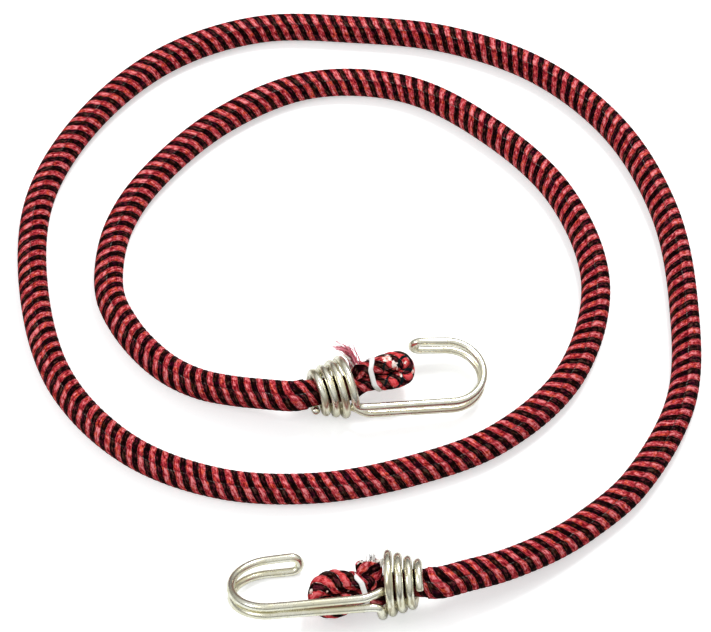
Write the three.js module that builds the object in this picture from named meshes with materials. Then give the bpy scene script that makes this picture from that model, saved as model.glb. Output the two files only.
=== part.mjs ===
// A 1 m elastic luggage cord with a bent-wire hook at each end, lying in a loose spiral on a flat surface.
// Millimetres, +Z up. The origin lies on the surface, under the middle of the two hooked ends.
import * as THREE from "three";
import { mergeVertices } from "three/addons/utils/BufferGeometryUtils.js";

// The cord: a braided cover round a bundle of rubber strands.
const cordDiameter = 8;
const coverWall = 0.7;
const cordSides = 12;
const cordSteps = 40;
const flexSteps = 5;
const facetShare = Math.cos(Math.PI / cordSides);
const cordHeight = (cordDiameter / 2) * facetShare;
const outerStrands = 6;
const strandSides = 5;
const strandDiameter = 1.6;
const middleStrandDiameter = 1.9;
const bundleSides = 8;

// Clear room that touching pieces keep, and the gap where one stretch of cord meets the next.
const fitGap = 0.3;
const stretchGap = 0.3;

// The cord inside a coil, and where it folds back on itself beyond it.
const grippedDiameter = 7.1;
const mouthLead = 1;
const entryLead = 4;
const gripShares = [1 / 3, 2 / 3];
const foldSides = 10;
const foldSteps = 34;
const foldWall = 0.55;
const neckRun = 1.5;

// The wire of both hooks.
const wireDiameter = 2;
const wireSides = 6;
const stepsPerTurn = 24;
const bendSteps = 14;
const hairpinSteps = 5;
const cornerSteps = 5;
const cornerRadius = 1.6;
const cornerPullShare = 0.6;
const tuckLength = 5;

// The tie that cinches the folded cord.
const bandWidth = 1.25;
const bandWall = 0.55;
const bandSteps = 8;

// What differs between the two hooked ends. Each coil starts at its mouth, on the cord's side.
const hookA = {
  name: "a",
  mouth: new THREE.Vector3(-13.7, 24.7, 8.87),
  yaw: 14,
  pitch: 4,
  roll: 3,
  turned: false,
  turns: 3.87,
  pitchOfCoil: 2.45,
  mouthRadius: 4.9,
  largeRadius: 7.8,
  leanShare: 0.06,
  leanTurn: 34,
  splay: 7,
  shankLength: 24.5,
  bendRadius: 9.2,
  bendSweep: 177,
  legLength: 6.7,
  pairAtCoil: 3.5,
  pairAtTip: 4.3,
  tuckDepth: 2.9,
  tuckReach: 1.9,
};
const hookB = {
  name: "b",
  mouth: new THREE.Vector3(15.6, -31.6, 9.75),
  yaw: -0.5,
  pitch: -4,
  roll: 28,
  turned: true,
  turns: 3.9,
  pitchOfCoil: 2.45,
  mouthRadius: 5.2,
  largeRadius: 8,
  leanShare: 0.02,
  leanTurn: -34,
  splay: 6,
  shankLength: 25.3,
  bendRadius: 9.5,
  bendSweep: 177,
  legLength: 6.3,
  pairAtCoil: 2.7,
  pairAtTip: 5,
  tuckDepth: 3,
  tuckReach: 2.3,
};

// The folded cord beyond each coil, in the plane of its fold: the two legs' spacing and half sizes. It lies
// to one side of the coil's axis by its rise, and by the drop as well at its far end.
const foldA = {
  turn: 40,
  rise: 1.9,
  drop: 0.5,
  neckAt: 16.8,
  knobAt: 21.3,
  knobEnd: 28.8,
  neckSpacing: 4,
  knobSpacing: 5.3,
  neckHalf: 1.8,
  neckDepth: 3.1,
  knobHalf: 2.35,
  knobDepth: 4.6,
  tailAt: 12.9,
  tailRise: 5,
  tailHalf: 1.4,
  tailDepth: 2.6,
  bandTilt: 6,
};
const foldB = {
  turn: 35,
  rise: -0.7,
  drop: -2.3,
  neckAt: 15.8,
  knobAt: 21,
  knobEnd: 29.3,
  neckSpacing: 4.1,
  knobSpacing: 6.5,
  neckHalf: 1.8,
  neckDepth: 3.1,
  knobHalf: 2.9,
  knobDepth: 5,
  tailAt: 13.4,
  tailRise: 4.9,
  tailHalf: 1.6,
  tailDepth: 2.4,
  bandTilt: -14,
};

// The cord's route over the surface, from the first hook to the second: across, away, and its middle's height.
const flat = cordHeight;
const routeFromA = [
  [-25.5, 25, 8.1],
  [-34, 26.8, 6.9],
  [-42.5, 29.7, 5.5],
  [-50.5, 34.5, 4.4],
  [-57.5, 41, 3.98],
  [-63.5, 49, flat],
  [-68, 58.5, flat],
  [-69, 69, flat],
  [-67, 82.5, flat],
  [-59.5, 98, flat],
  [-39.5, 120, flat],
  [-14.5, 133, flat],
  [13, 131.5, flat],
  [37, 116, flat],
  [56, 93, flat],
  [64, 63, flat],
  [55.5, 33.5, flat],
  [36, 14, flat],
  [12.5, 4, flat],
  [-12, -1, flat],
  [-37, 0.5, flat],
  [-60.5, 10.5, flat],
  [-79.5, 31, flat],
  [-89, 60.5, flat],
  [-89.5, 92.5, flat],
  [-77, 121, flat],
  [-56, 143, flat],
  [-30, 154, flat],
  [-2, 154, flat],
  [26, 150, flat],
  [52, 138, flat],
  [72.5, 116.5, flat],
  [84.5, 87.5, flat],
  [87.5, 56, flat],
  [84.5, 25.5, flat],
  [70.5, 0, flat],
  [57.5, -12, 3.95],
  [50, -17.5, 4.8],
  [42.5, -22, 6.1],
  [34.5, -26, 7.5],
  [26.5, -29, 8.8],
];
const flexLengthA = 66;
const flexLengthB = 56;
const routeDivisions = 4000;

const red = new THREE.Color(0.74, 0.12, 0.14);
const materials = {
  cover: () => new THREE.MeshStandardMaterial({ color: red, roughness: 0.85, metalness: 0 }),
  rubber: () => new THREE.MeshStandardMaterial({ color: 0xe9e2d2, roughness: 0.6, metalness: 0 }),
  wire: () => new THREE.MeshStandardMaterial({ color: 0xc9c3a6, roughness: 0.28, metalness: 1 }),
  band: () => new THREE.MeshStandardMaterial({ color: 0xf2f2f0, roughness: 0.5, metalness: 0 }),
};

const radians = THREE.MathUtils.degToRad;

function named(name, geometry, material) {
  const mesh = new THREE.Mesh(geometry, material);
  mesh.name = name;
  return mesh;
}

// A point given in a hook's own frame, in the frame of the whole part.
function hookMatrix(hook) {
  const roll = new THREE.Matrix4().makeRotationX(radians(hook.roll));
  const turned = new THREE.Matrix4().makeRotationY(hook.turned ? Math.PI : 0);
  const pitch = new THREE.Matrix4().makeRotationY(radians(hook.pitch));
  const yaw = new THREE.Matrix4().makeRotationZ(radians(hook.yaw));
  const place = new THREE.Matrix4().makeTranslation(hook.mouth);
  return place.multiply(yaw).multiply(pitch).multiply(turned).multiply(roll);
}

// Joins rings of points into one closed body. With inner rings it is a sleeve, open at both ends.
function skinned(outer, inner) {
  const rings = inner ? [...outer, ...[...inner].reverse()] : outer;
  const sides = outer[0].length;
  const corners = rings.flat().flatMap((p) => [p.x, p.y, p.z]);
  const faces = [];
  const last = rings.length - 1;
  const joined = inner ? rings.length : last;
  for (let i = 0; i < joined; i++) {
    const here = i * sides;
    const next = ((i + 1) % rings.length) * sides;
    for (let j = 0; j < sides; j++) {
      const k = (j + 1) % sides;
      faces.push(here + j, here + k, next + k, here + j, next + k, next + j);
    }
  }
  if (!inner) {
    for (let j = 1; j < sides - 1; j++) {
      faces.push(0, j + 1, j);
      faces.push(last * sides, last * sides + j, last * sides + j + 1);
    }
  }
  const geometry = new THREE.BufferGeometry();
  geometry.setAttribute("position", new THREE.Float32BufferAttribute(corners, 3));
  geometry.setIndex(faces);
  const whole = mergeVertices(geometry);
  whole.computeVertexNormals();
  return whole;
}

// Round rings square to a line of points, each turned as little as it can be from the one before.
function ringsAlong(points, radius, sides) {
  const rings = [];
  let normal = null;
  points.forEach((point, i) => {
    const before = points[Math.max(i - 1, 0)];
    const after = points[Math.min(i + 1, points.length - 1)];
    const tangent = after.clone().sub(before).normalize();
    if (!normal) normal = new THREE.Vector3(0, 0, 1);
    normal.addScaledVector(tangent, -normal.dot(tangent)).normalize();
    const side = tangent.clone().cross(normal);
    const ring = [];
    for (let j = 0; j < sides; j++) {
      const angle = (2 * Math.PI * (j + 0.5)) / sides;
      const across = normal.clone().multiplyScalar(radius * Math.cos(angle));
      ring.push(point.clone().add(across).addScaledVector(side, radius * Math.sin(angle)));
    }
    rings.push(ring);
  });
  return rings;
}

// The hook's wire
function coilPoint(hook, angle, share) {
  const radius = THREE.MathUtils.lerp(hook.mouthRadius, hook.largeRadius, share);
  const across = radius * Math.cos(angle);
  const up = radius * Math.sin(angle);
  const leanAngle = radians(hook.leanTurn);
  const along = wireDiameter / 2 + hook.pitchOfCoil * hook.turns * share;
  const lean = hook.leanShare * (across * Math.cos(leanAngle) + up * Math.sin(leanAngle));
  return new THREE.Vector3(along - lean, across, up);
}

// The coil ends just before the shank's side, where the wire turns off along the shank.
function coilPoints(hook) {
  const rise = hook.pairAtCoil / 2 + cornerRadius;
  const end = Math.PI - Math.asin(rise / hook.largeRadius);
  const start = Math.PI - 2 * Math.PI * hook.turns;
  const steps = Math.round(stepsPerTurn * hook.turns);
  const points = [];
  for (let i = 0; i <= steps; i++) {
    points.push(coilPoint(hook, THREE.MathUtils.lerp(start, end, i / steps), i / steps));
  }
  return points;
}

// The plan of the hook: shank, bend and leg, as points with the share of the way that each has gone.
function hookPlan(hook) {
  const splay = radians(hook.splay);
  const sweep = radians(hook.bendSweep);
  const start = new THREE.Vector2(
    wireDiameter / 2 + hook.pitchOfCoil * hook.turns + cornerRadius, -hook.largeRadius);
  const away = new THREE.Vector2(Math.cos(splay), -Math.sin(splay));
  const bendStart = start.clone().addScaledVector(away, hook.shankLength);
  const inward = new THREE.Vector2(Math.sin(splay), Math.cos(splay));
  const centre = bendStart.clone().addScaledVector(inward, hook.bendRadius);
  const places = [start];
  const first = -Math.PI / 2 - splay;
  for (let i = 0; i <= bendSteps; i++) {
    const angle = first + (sweep * i) / bendSteps;
    const out = new THREE.Vector2(Math.cos(angle), Math.sin(angle));
    places.push(centre.clone().addScaledVector(out, hook.bendRadius));
  }
  const last = first + sweep;
  const back = new THREE.Vector2(-Math.sin(last), Math.cos(last));
  places.push(places[places.length - 1].clone().addScaledVector(back, hook.legLength));
  const whole = hook.shankLength + hook.bendRadius * sweep + hook.legLength;
  let gone = 0;
  return places.map((place, i) => {
    gone += i ? place.distanceTo(places[i - 1]) : 0;
    return { place, back, share: gone / whole };
  });
}

// Half of the clear height between the hook's two wires, which spread towards the tip.
function pairHalf(hook, share) {
  return THREE.MathUtils.lerp(hook.pairAtCoil, hook.pairAtTip, share * Math.sqrt(share)) / 2;
}

// One wire: coil, corner, out along the shank, round the bend, a hairpin at the tip, back, and tucked in.
function wirePoints(hook) {
  const coil = coilPoints(hook);
  const plan = hookPlan(hook);
  const out = plan.map((p) => new THREE.Vector3(p.place.x, p.place.y, pairHalf(hook, p.share)));
  const home = plan.map((p) => new THREE.Vector3(p.place.x, p.place.y, -pairHalf(hook, p.share)));
  const end = coil[coil.length - 1];
  const endWay = end.clone().sub(coil[coil.length - 2]).normalize();
  const shankWay = out[1].clone().sub(out[0]).normalize();
  const corner = new THREE.CubicBezierCurve3(
    end,
    end.clone().addScaledVector(endWay, cornerRadius * cornerPullShare),
    out[0].clone().addScaledVector(shankWay, -cornerRadius * cornerPullShare),
    out[0].clone().addScaledVector(shankWay, cornerRadius),
  );
  const tip = plan[plan.length - 1];
  const half = pairHalf(hook, 1);
  const hairpin = [];
  for (let i = 1; i < hairpinSteps; i++) {
    const angle = (Math.PI * i) / hairpinSteps;
    const along = tip.place.clone().addScaledVector(tip.back, half * Math.sin(angle));
    hairpin.push(new THREE.Vector3(along.x, along.y, half * Math.cos(angle)));
  }
  const homeStart = home[0].clone().addScaledVector(shankWay, tuckLength - cornerRadius);
  const tucked = home[0].clone().add(
    new THREE.Vector3(-hook.tuckReach, hook.tuckDepth, 0));
  const tuck = new THREE.CubicBezierCurve3(
    homeStart,
    homeStart.clone().addScaledVector(shankWay, -tuckLength / 2),
    tucked.clone().addScaledVector(new THREE.Vector3(1, -1 / 2, 0), tuckLength / 4),
    tucked,
  );
  return [
    ...coil,
    ...corner.getPoints(cornerSteps).slice(1),
    ...out.slice(1),
    ...hairpin,
    ...home.slice(1).reverse(),
    ...tuck.getPoints(cornerSteps),
  ];
}

// The least clear gap between turns of the same wire, measured on its points.
function leastGap(points, diameter) {
  let least = Infinity;
  const gone = [0];
  for (let i = 1; i < points.length; i++) {
    gone.push(gone[i - 1] + points[i].distanceTo(points[i - 1]));
  }
  for (let i = 0; i < points.length; i++) {
    for (let j = i + 1; j < points.length; j++) {
      const apart = points[i].distanceTo(points[j]);
      if (gone[j] - gone[i] > Math.PI * diameter) least = Math.min(least, apart - diameter);
    }
  }
  return least;
}

function hookWire(hook) {
  const points = wirePoints(hook);
  const gap = leastGap(points, wireDiameter).toFixed(2);
  console.log(`hook_${hook.name}: least gap of the wire to itself ${gap} mm`);
  const geometry = skinned(ringsAlong(points, wireDiameter / 2, wireSides));
  geometry.applyMatrix4(hookMatrix(hook));
  return named(`hook_${hook.name}`, geometry, materials.wire());
}

// The folded cord: its line in the plane of the fold, with its half sizes in and across that plane.
function foldStations(fold) {
  const gripped = grippedDiameter / 2;
  const knobRadius = fold.knobSpacing / 2;
  const turnAt = fold.knobEnd - fold.knobHalf - knobRadius;
  const rise = fold.rise;
  const low = rise - fold.neckSpacing / 2;
  const high = rise + fold.neckSpacing / 2;
  const lean = (fold.neckSpacing / 2) * Math.tan(radians(fold.bandTilt));
  const slant = knobRadius * Math.SQRT1_2;
  const lowNeck = fold.neckAt + lean;
  const highNeck = fold.neckAt - lean;
  return [
    [-mouthLead, 0, (gripped + cordDiameter / 2) / 2, (gripped + cordDiameter / 2) / 2],
    [mouthLead, 0, gripped, gripped],
    [fold.neckAt * gripShares[0], 0, gripped, gripped],
    [fold.neckAt * gripShares[1], low * gripShares[0], gripped - fitGap, gripped],
    [lowNeck - neckRun, low, fold.neckHalf, fold.neckDepth],
    [lowNeck + neckRun, low, fold.neckHalf, fold.neckDepth],
    [fold.knobAt, rise - knobRadius, fold.knobHalf, fold.knobDepth],
    [turnAt, rise - knobRadius, fold.knobHalf, fold.knobDepth],
    [turnAt + slant, rise - slant, fold.knobHalf, fold.knobDepth],
    [turnAt + knobRadius, rise, fold.knobHalf, fold.knobDepth],
    [turnAt + slant, rise + slant, fold.knobHalf, fold.knobDepth],
    [turnAt, rise + knobRadius, fold.knobHalf, fold.knobDepth],
    [fold.knobAt, rise + knobRadius, fold.knobHalf, fold.knobDepth],
    [highNeck + neckRun, high, fold.neckHalf, fold.neckDepth],
    [highNeck - neckRun, high, fold.neckHalf, fold.neckDepth],
    [fold.tailAt, fold.tailRise, fold.tailHalf, fold.tailDepth],
  ];
}

// Rings along the fold, each drawn in by a wall or a gap. The fold's plane is turned about the coil's axis.
function foldRings(fold, drawnIn, sides, trimmed) {
  const stations = foldStations(fold);
  const line = new THREE.CatmullRomCurve3(
    stations.map(([along, aside]) => new THREE.Vector3(along, aside, 0)), false, "centripetal");
  const halves = new THREE.CatmullRomCurve3(
    stations.map(([, , half, depth]) => new THREE.Vector3(half, depth, 0)), false, "centripetal");
  const rings = [];
  for (let i = 0; i <= foldSteps; i++) {
    const share = THREE.MathUtils.lerp(trimmed, 1 - trimmed, i / foldSteps);
    const point = line.getPoint(share);
    const way = line.getTangent(share);
    const half = halves.getPoint(share);
    const ring = [];
    for (let j = 0; j < sides; j++) {
      const angle = (2 * Math.PI * (j + 0.5)) / sides;
      const aside = (half.x - drawnIn) * Math.cos(angle);
      const deep = (half.y - drawnIn) * Math.sin(angle);
      ring.push(new THREE.Vector3(point.x - way.y * aside, point.y + way.x * aside, deep));
    }
    rings.push(ring);
  }
  return rings;
}

// From the fold's plane to the whole part: the fold's frame shares the coil's axis but not the hook's roll.
function foldMatrix(hook, fold) {
  const axis = new THREE.Vector3(1, 0, 0).transformDirection(hookMatrix(hook));
  const level = new THREE.Vector3(0, 1, 0).addScaledVector(axis, -axis.y).normalize();
  const up = axis.clone().cross(level);
  if (up.z < 0) up.negate();
  const turn = radians(fold.turn);
  const aside = level.clone().multiplyScalar(Math.cos(turn)).addScaledVector(up, Math.sin(turn));
  const square = axis.clone().cross(aside);
  return new THREE.Matrix4().makeBasis(axis, aside, square).setPosition(hook.mouth);
}

// Beyond the neck the knob sags to one side: its points shift by a share that grows along the coil's axis.
function sagged(ring, fold) {
  ring.forEach((point) => {
    const share = THREE.MathUtils.smoothstep(point.x, fold.neckAt + neckRun, fold.knobEnd - fold.knobHalf);
    point.y += fold.drop * share;
  });
  return ring;
}

function foldedCord(hook, fold) {
  const matrix = foldMatrix(hook, fold);
  const outer = foldRings(fold, 0, foldSides, 0).map((ring) => sagged(ring, fold));
  const inner = foldRings(fold, foldWall, foldSides, 0).map((ring) => sagged(ring, fold));
  const core = foldRings(fold, foldWall + fitGap, foldSides, 0).map((ring) => sagged(ring, fold));
  const cover = skinned(outer, inner).applyMatrix4(matrix);
  const rubber = skinned(core).applyMatrix4(matrix);
  return [
    named(`end_cover_${hook.name}`, cover, materials.cover()),
    named(`end_core_${hook.name}`, rubber, materials.rubber()),
  ];
}

// The tie round both legs of the fold, an upright oval ring leaned over as the cord pulls it.
function bandOutline(fold, clear) {
  const half = fold.neckHalf + clear;
  const depth = fold.neckDepth + clear;
  const points = [];
  for (const side of [1, -1]) {
    for (let i = 0; i <= bandSteps; i++) {
      const angle = -Math.PI / 2 + (Math.PI * i) / bandSteps;
      const aside = side * (fold.neckSpacing / 2 + half * Math.cos(angle));
      points.push(new THREE.Vector2(aside, side * depth * Math.sin(angle)));
    }
  }
  return points;
}

function band(hook, fold) {
  const shape = new THREE.Shape(bandOutline(fold, fitGap + bandWall));
  shape.holes.push(new THREE.Path(bandOutline(fold, fitGap).reverse()));
  const geometry = new THREE.ExtrudeGeometry(shape, { depth: bandWidth, bevelEnabled: false });
  geometry.translate(0, 0, -bandWidth / 2);
  const swing = new THREE.Matrix4().makeBasis(
    new THREE.Vector3(0, 1, 0), new THREE.Vector3(0, 0, 1), new THREE.Vector3(1, 0, 0));
  geometry.applyMatrix4(swing);
  geometry.rotateZ(radians(fold.bandTilt));
  geometry.translate(fold.neckAt, fold.rise, 0);
  geometry.applyMatrix4(foldMatrix(hook, fold));
  return named(`band_${hook.name}`, geometry, materials.band());
}

// The cord's whole route, and a part of it between two places along it.
function cordRoute() {
  const ends = [hookA, hookB].map((hook) => {
    const axis = new THREE.Vector3(1, 0, 0).transformDirection(hookMatrix(hook));
    return [mouthLead, entryLead].map((back) => hook.mouth.clone().addScaledVector(axis, -back));
  });
  const middle = routeFromA.map(([across, away, height]) => new THREE.Vector3(across, away, height));
  const route = new THREE.CatmullRomCurve3(
    [...ends[0], ...middle, ...ends[1].reverse()], false, "centripetal");
  route.arcLengthDivisions = routeDivisions;
  return route;
}

class Stretch extends THREE.Curve {
  constructor(route, from, to) {
    super();
    this.route = route;
    this.from = from;
    this.to = to;
  }

  getPoint(share, target = new THREE.Vector3()) {
    return this.route.getPointAt(THREE.MathUtils.lerp(this.from, this.to, share), target);
  }
}

// A section of the cord, with its corners placed so that a flat facet faces down.
function circleOutline(radius, sides, aside = new THREE.Vector2()) {
  const points = [];
  for (let j = 0; j < sides; j++) {
    const angle = (2 * Math.PI * (j + 0.5)) / sides;
    points.push(new THREE.Vector2(Math.cos(angle), Math.sin(angle)).multiplyScalar(radius).add(aside));
  }
  return points;
}

function alongCurve(shape, curve, steps) {
  return new THREE.ExtrudeGeometry(shape, { steps, extrudePath: curve, bevelEnabled: false });
}

function coverTube(name, curve, steps) {
  const shape = new THREE.Shape(circleOutline(cordDiameter / 2, cordSides));
  shape.holes.push(new THREE.Path(circleOutline(cordDiameter / 2 - coverWall, cordSides).reverse()));
  return named(name, alongCurve(shape, curve, steps), materials.cover());
}

function strandTube(name, curve, steps, diameter, sides, aside) {
  const shape = new THREE.Shape(circleOutline(diameter / 2, sides, aside));
  return named(name, alongCurve(shape, curve, steps), materials.rubber());
}

// The long stretch: the cover, one strand in the middle and the others round it.
function mainStretch(curve) {
  const meshes = [coverTube("cover_main", curve, cordSteps)];
  const ringRadius = middleStrandDiameter / 2 + fitGap + strandDiameter / 2;
  meshes.push(strandTube("core_strand_0", curve, cordSteps, middleStrandDiameter, strandSides));
  for (let i = 0; i < outerStrands; i++) {
    const angle = (2 * Math.PI * i) / outerStrands;
    const aside = new THREE.Vector2(Math.cos(angle), Math.sin(angle)).multiplyScalar(ringRadius);
    meshes.push(strandTube(`core_strand_${i + 1}`, curve, cordSteps, strandDiameter, strandSides, aside));
  }
  return meshes;
}

// A stretch that bends as its hook is lifted, with its strands as one bundle.
function flexStretch(name, curve) {
  const bundle = 2 * ((cordDiameter / 2 - coverWall) * facetShare - fitGap);
  return [
    coverTube(`cover_flex_${name}`, curve, flexSteps),
    strandTube(`core_flex_${name}`, curve, flexSteps, bundle, bundleSides),
  ];
}

const part = new THREE.Group();
const route = cordRoute();
const routeLength = route.getLength();
const toMain = flexLengthA / routeLength;
const toFlexB = 1 - flexLengthB / routeLength;
const halfGap = stretchGap / 2 / routeLength;
console.log(`free cord ${routeLength.toFixed(1)} mm`);
part.add(...mainStretch(new Stretch(route, toMain + halfGap, toFlexB - halfGap)));
part.add(...flexStretch("a", new Stretch(route, halfGap * 2, toMain - halfGap)));
part.add(...flexStretch("b", new Stretch(route, toFlexB + halfGap, 1 - halfGap * 2)));
for (const [hook, fold] of [[hookA, foldA], [hookB, foldB]]) {
  part.add(...foldedCord(hook, fold), band(hook, fold), hookWire(hook));
}

export default part;
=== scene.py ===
from math import asin, atan2, cos, pi, radians, sin, sqrt, tan
from types import SimpleNamespace as Sizes

import bpy
import numpy as np
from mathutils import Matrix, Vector


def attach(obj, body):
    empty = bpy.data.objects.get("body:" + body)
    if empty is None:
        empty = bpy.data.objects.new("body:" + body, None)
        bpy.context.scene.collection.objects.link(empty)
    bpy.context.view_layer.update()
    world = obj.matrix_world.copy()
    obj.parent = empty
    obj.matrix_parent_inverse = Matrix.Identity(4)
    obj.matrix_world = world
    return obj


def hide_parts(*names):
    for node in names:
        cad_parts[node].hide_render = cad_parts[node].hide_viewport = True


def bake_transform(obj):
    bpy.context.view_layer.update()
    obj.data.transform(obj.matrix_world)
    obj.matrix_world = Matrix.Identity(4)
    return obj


# A 1 m elastic luggage cord with a bent-wire hook at each end, lying in a loose spiral on a pale floor.
# Lengths are millimetres until a mesh is made, where MM turns them into metres.
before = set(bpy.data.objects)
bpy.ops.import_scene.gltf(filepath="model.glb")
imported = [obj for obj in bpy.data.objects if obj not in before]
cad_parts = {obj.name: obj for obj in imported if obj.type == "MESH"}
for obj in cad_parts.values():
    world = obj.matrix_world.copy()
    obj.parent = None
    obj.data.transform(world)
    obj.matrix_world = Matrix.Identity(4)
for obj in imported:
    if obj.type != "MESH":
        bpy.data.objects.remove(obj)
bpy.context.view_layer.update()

MM = 0.001
UP = np.array([0.0, 0.0, 1.0])

# The cord. Its solid has a section of flat sides, and lies on one of them.
CORD_DIAMETER = 8.0
SOLID_SIDES = 12
CORD_HEIGHT = CORD_DIAMETER / 2 * cos(pi / SOLID_SIDES)
CREST_RADIUS = 4.06
REST_HEIGHT = -0.06
GROOVE_DEPTH = 0.2
BORE_RADIUS = 3.2
RING_STEP = 0.3
CORD_SIDES = 56
BORE_SIDES = 14
BORE_STEP = 12
ROUTE_STEPS = 60
PATH_POINTS = 60

# The rubber inside, drawn as one bundle with ridges where its threads lie side by side
BUNDLE_RADIUS = 2.85
BUNDLE_SIDES = 36
BUNDLE_STEP = 3
BUNDLE_RIDGES = 9
RIDGE_SHARE = 0.06
STRANDS = 7

# The braid: pairs of a red and a black yarn that wind round the cord, tied down along columns of fine thread.
# Every second column is a strong one, where the yarn steps aside and comes up again.
PAIR_PITCH = 3.555
PITCH_SWAY = 0.25
PITCH_SWAY_LENGTH = 240.0
PAIR_STARTS = 3
COLUMNS = 8
STRONG_EVERY = 2
COLUMN_LEAN = 0.08
SLANT_SWAY = 0.04
JOG = 0.12
JOG_WIDTH = 0.08
BEAD = 0.055
BEADS_PER_COLUMN = 1.5
YARN_FLATNESS = 0.35
YARN_RISE, YARN_SINK = 0.06, 0.1

# The folded ends
GRIPPED_DIAMETER = 7.1
MOUTH_LEAD = 1.0
ENTRY_LEAD = 4.0
GRIP_SHARE = 1 / 3
NECK_RUN = 1.5
FOLD_PITCH = 4.3
FOLD_PITCH_RUN = (8.0, 20.0)
FOLD_STEP = 0.22
FOLD_SIDES = 72
FOLD_LINE_STEPS = 40

# How a folded end swells beyond its tie, where its legs press together before it, and its lumps
KNOB_RUN = (1.2, 5.5)
PRESS_RUN = (-5.5, -1.0)
KNOB_GROOVE = 0.3
KNOB_TRIM = 0.1
LEG_OVERLAP = 0.06
LUMPS = 9
LUMP_LENGTH = 6.0
LUMP_HEIGHT = 0.5
BARE_SWELL = 0.12
PATCH_EDGE_SHARES = (1.6, 0.4)
PRESSED_SQUARE, PRESSED_FLAT = 0.5, 0.3
CROSS_RUN = (1.0, 3.0)
# Painted shade that darkens a folded end inside the coil: how dark, and where it fades in and out along the
# coil's axis
COIL_SHADE_SHARE = 0.85
COIL_SHADE_START, COIL_SHADE_END = (0.5, 2.5), (10.0, 11.5)

# The cut tails, with the ends of the rubber threads and the frayed yarn
TAIL_TUCK = 0.3
TAIL_SIDES, TAIL_ROWS = 48, 22
TAIL_RAGS = 14
TAIL_RAGGED = 0.3
TAIL_RELIEF = 0.05
TAIL_WAVE = 0.05
TAIL_PLACE = 1.4
TAIL_PITCH_SHARE = 0.8
TAIL_LIP_SHARES = [(1.0, 0.86), (0.86, 0.80)]
STUBS = 14
STUB_TURN = 2.4
STUB_ROOT = 1.6
STUB_SPREAD_SHARE = 0.8
STUB_LENGTH, STUB_LENGTH_SPREAD = 1.5, 0.7
STUB_BOW = (0.2, 0.3)
STUB_STEPS = 6
STUB_RADIUS = 0.36
STUB_SIDES = 10
DRAWN_STEPS = 6
DRAWN_OUT = (0.4, 1.2)
FRAY_STEPS = 12
FIBRE_STEPS_LEAST = 6
FIBRE_SHORTEST = 0.35
ROOT_WIDE, ROOT_DEEP, ROOT_CLOSES = 0.6, 0.8, 0.6
OPEN_ASIDE, OPEN_ALONG = 0.6, 0.7
CURL_TURN, CURL_REACH = (2, 5), 0.3
FIBRE_RADIUS = 0.09
FIBRE_SIDES = 5
TIP_THIN_SHARE = 0.35
RED_TONES, BLACK_TONE, WHITE_TONE = 0.9, 0.95, 1.5
BLACK_EVERY = 4
LOOSE_NORMAL = np.array([0.3, 0.2, 0.9])
FRAYS = {
    "a": Sizes(count=80, spread=1.7, length_power=0.8),
    "b": Sizes(count=30, spread=0.9, length_power=1.4),
}

# The hooks' wire
WIRE_DIAMETER = 2.0
WIRE_DRAWN = 2.14
WIRE_SIDES = 20
CORNER_RADIUS = 1.6
CORNER_PULL_SHARE = 0.6
TUCK_LENGTH = 5.0
WIRE_STEP = 0.4
END_ROUND_SHARE = 0.14
END_ROUND_RUN = 0.4
CURVE_STEPS = 24
JOIN_CLEAR = 0.1
SHANK_SHARES, BEND_SHARES = (0.0, 0.4), (0.45, 1.0)

# The white ties
TIE_WIDTH = 1.35
TIE_WALL = 0.6
TIE_CLEAR = 0.12
TIE_ROUND_STEPS = 24
TIE_SECTION_POINTS = 16
TIE_SQUARENESS = 4
TIE_RIBS = 20

HOOKS = {
    "a": Sizes(
        mouth=(-13.7, 24.7, 8.87), yaw=14, pitch=4, roll=3, turned=False,
        turns=3.87, wire_end=0.045, coil_pitch=2.45, mouth_radius=4.9, large_radius=7.8,
        lean_share=0.06, lean_turn=34, splay=7, shank=24.5, bend_radius=9.2, bend_sweep=177, leg=6.7,
        pair_at_coil=3.5, pair_at_bend=3.7, pair_at_tip=4.3, tuck_depth=2.9, tuck_reach=1.9,
    ),
    "b": Sizes(
        mouth=(15.6, -31.6, 9.75), yaw=-0.5, pitch=-4, roll=28, turned=True,
        turns=3.9, wire_end=0.065, coil_pitch=2.45, mouth_radius=5.0, large_radius=8,
        lean_share=0.02, lean_turn=-34, splay=6, shank=25.4, bend_radius=9.8, bend_sweep=177, leg=6.2,
        pair_at_coil=2.8, pair_at_bend=2.35, pair_at_tip=4.3, tuck_depth=3, tuck_reach=2.3,
    ),
}
FOLDS = {
    "a": Sizes(
        turn=40, facing=1, rise=1.85, drop=0.6, entry=(11.4, -0.3, 3.4, 3.5), neck_at=16.3,
        knob_at=(22.5, 20.2), knob_end=29, neck_spacing=4, knob_spacing=5.2, neck_half=2, neck_depth=3.1,
        knob_half=2.3, knob_depth=4.6, corner=0.76, tie_tilt=6, tie_bow=0.1, tail_root=(14.1, 2.3),
        tail_end=(12.9, 5.2), tail_half=(2.9, 2.3), tail_depth=(2.8, 2.4), gap=0.05, cross=0.7,
        lump_seed=5, lip_seed=31, tail_seed=11,
    ),
    "b": Sizes(
        turn=35, facing=-1, rise=-1.4, drop=-1.2, entry=(10.2, -1.8, 3.6, 3.6), neck_at=14.3,
        knob_at=(21, 22), knob_end=29.6, neck_spacing=4.6, knob_spacing=6.3, neck_half=2.2, neck_depth=3.2,
        knob_half=2.9, knob_depth=5, corner=0.71, tie_tilt=-16, tie_bow=0.08, tail_root=(13.1, -1.6),
        tail_end=(13.7, 5.7), tail_half=(3.2, 3.4), tail_depth=(3.1, 2.2), gap=0.03, cross=0.0,
        lump_seed=6, lip_seed=37, tail_seed=23,
    ),
}

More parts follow.
